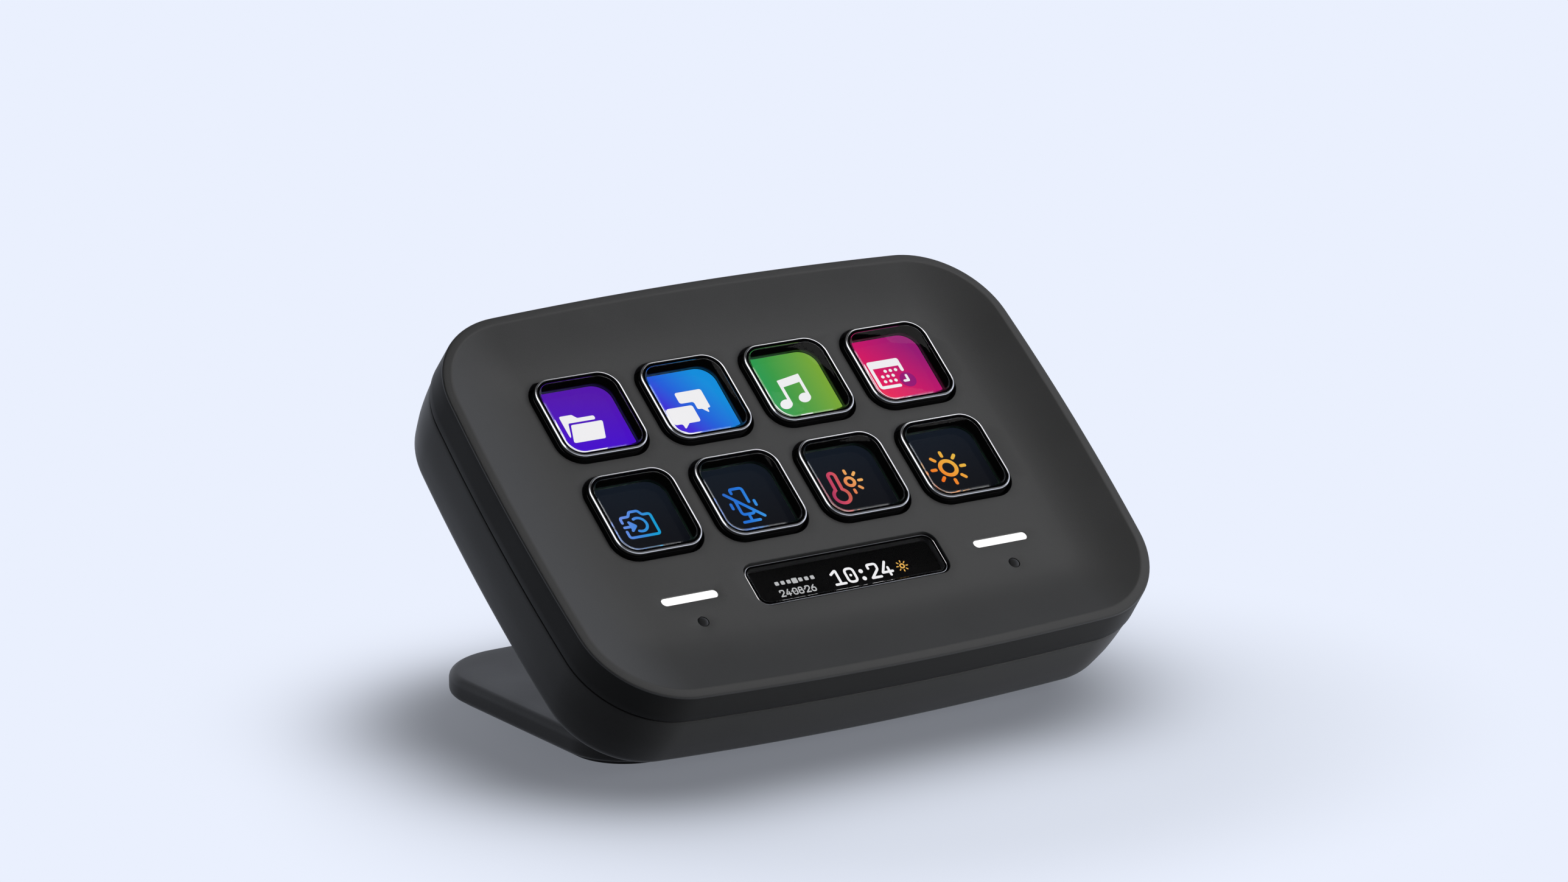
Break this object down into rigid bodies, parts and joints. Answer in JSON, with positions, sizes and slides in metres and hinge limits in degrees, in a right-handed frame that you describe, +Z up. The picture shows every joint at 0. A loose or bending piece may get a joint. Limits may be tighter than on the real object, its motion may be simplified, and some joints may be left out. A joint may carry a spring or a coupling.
{
  "type": "macro keypad",
  "caption": "Tilted desktop keypad with clear picture keys over one display, an information window, light bars with touch points, and a foot bracket.",
  "frame": {"origin": "middle of the footprint, on the surface that the pad rests on", "axes": "+X to the user's right, +Y to the rear, +Z up; the face tilts back 38 degrees and looks towards -Y and +Z"},
  "size_m": [0.1072, 0.071, 0.062],
  "materials": {
    "shell_charcoal": "fine-grained, soft touch",
    "cap_clear": "clear, polished",
    "skirt_black": "polished black",
    "mat_black": "matte",
    "board_green": "lacquered circuit board",
    "display_black": "polished",
    "tray_steel": "pressed sheet",
    "screw_steel": "zinc plated",
    "lens_clear": "clear, polished",
    "light_white": "milky light guide",
    "touch_black": "polished",
    "lamp_yellow": "phosphor",
    "chip_black": "moulded package",
    "socket_steel": "satin",
    "ribbon_amber": "polyimide film",
    "screw_black": "black oxide",
    "foot_charcoal": "fine powder coat",
    "pad_rubber": "matte"
  },
  "bodies": {
    "housing": {"front_shell": "shell_charcoal", "back_shell": "shell_charcoal", "dome_mat": "mat_black", "switch_board": "board_green", "lcd_panel": "display_black", "lcd_tray": "tray_steel", "tray_screws": "screw_steel", "info_lens": "lens_clear", "info_gasket": "mat_black", "info_display": "display_black", "light_bar_left": "light_white", "light_bar_right": "light_white", "touch_dot_left": "touch_black", "touch_dot_right": "touch_black", "touch_board_left": "board_green", "touch_board_right": "board_green", "light_leds": "lamp_yellow", "main_board": "board_green", "board_chips": "chip_black", "board_screws": "screw_steel", "usb_shell": "socket_steel", "usb_tongue": "chip_black", "lcd_ribbon": "ribbon_amber", "info_ribbon": "ribbon_amber", "case_screws": "screw_black", "foot": "foot_charcoal", "foot_screws": "screw_black", "foot_pad": "pad_rubber"},
    "key_1": {"key_cap_1": "cap_clear", "key_skirt_1": "skirt_black"},
    "key_2": {"key_cap_2": "cap_clear", "key_skirt_2": "skirt_black"},
    "key_3": {"key_cap_3": "cap_clear", "key_skirt_3": "skirt_black"},
    "key_4": {"key_cap_4": "cap_clear", "key_skirt_4": "skirt_black"},
    "key_5": {"key_cap_5": "cap_clear", "key_skirt_5": "skirt_black"},
    "key_6": {"key_cap_6": "cap_clear", "key_skirt_6": "skirt_black"},
    "key_7": {"key_cap_7": "cap_clear", "key_skirt_7": "skirt_black"},
    "key_8": {"key_cap_8": "cap_clear", "key_skirt_8": "skirt_black"}
  },
  "joints": [
    {"name": "key_1_press", "type": "slide", "parent": "housing", "child": "key_1", "axis": [0, 0.6157, -0.788], "range_m": [0, 0.001], "stiffness_N_per_m": 300, "springref_m": -0.0008},
    {"name": "key_2_press", "type": "slide", "parent": "housing", "child": "key_2", "axis": [0, 0.6157, -0.788], "range_m": [0, 0.001], "stiffness_N_per_m": 300, "springref_m": -0.0008},
    {"name": "key_3_press", "type": "slide", "parent": "housing", "child": "key_3", "axis": [0, 0.6157, -0.788], "range_m": [0, 0.001], "stiffness_N_per_m": 300, "springref_m": -0.0008},
    {"name": "key_4_press", "type": "slide", "parent": "housing", "child": "key_4", "axis": [0, 0.6157, -0.788], "range_m": [0, 0.001], "stiffness_N_per_m": 300, "springref_m": -0.0008},
    {"name": "key_5_press", "type": "slide", "parent": "housing", "child": "key_5", "axis": [0, 0.6157, -0.788], "range_m": [0, 0.001], "stiffness_N_per_m": 300, "springref_m": -0.0008},
    {"name": "key_6_press", "type": "slide", "parent": "housing", "child": "key_6", "axis": [0, 0.6157, -0.788], "range_m": [0, 0.001], "stiffness_N_per_m": 300, "springref_m": -0.0008},
    {"name": "key_7_press", "type": "slide", "parent": "housing", "child": "key_7", "axis": [0, 0.6157, -0.788], "range_m": [0, 0.001], "stiffness_N_per_m": 300, "springref_m": -0.0008},
    {"name": "key_8_press", "type": "slide", "parent": "housing", "child": "key_8", "axis": [0, 0.6157, -0.788], "range_m": [0, 0.001], "stiffness_N_per_m": 300, "springref_m": -0.0008}
  ]
}
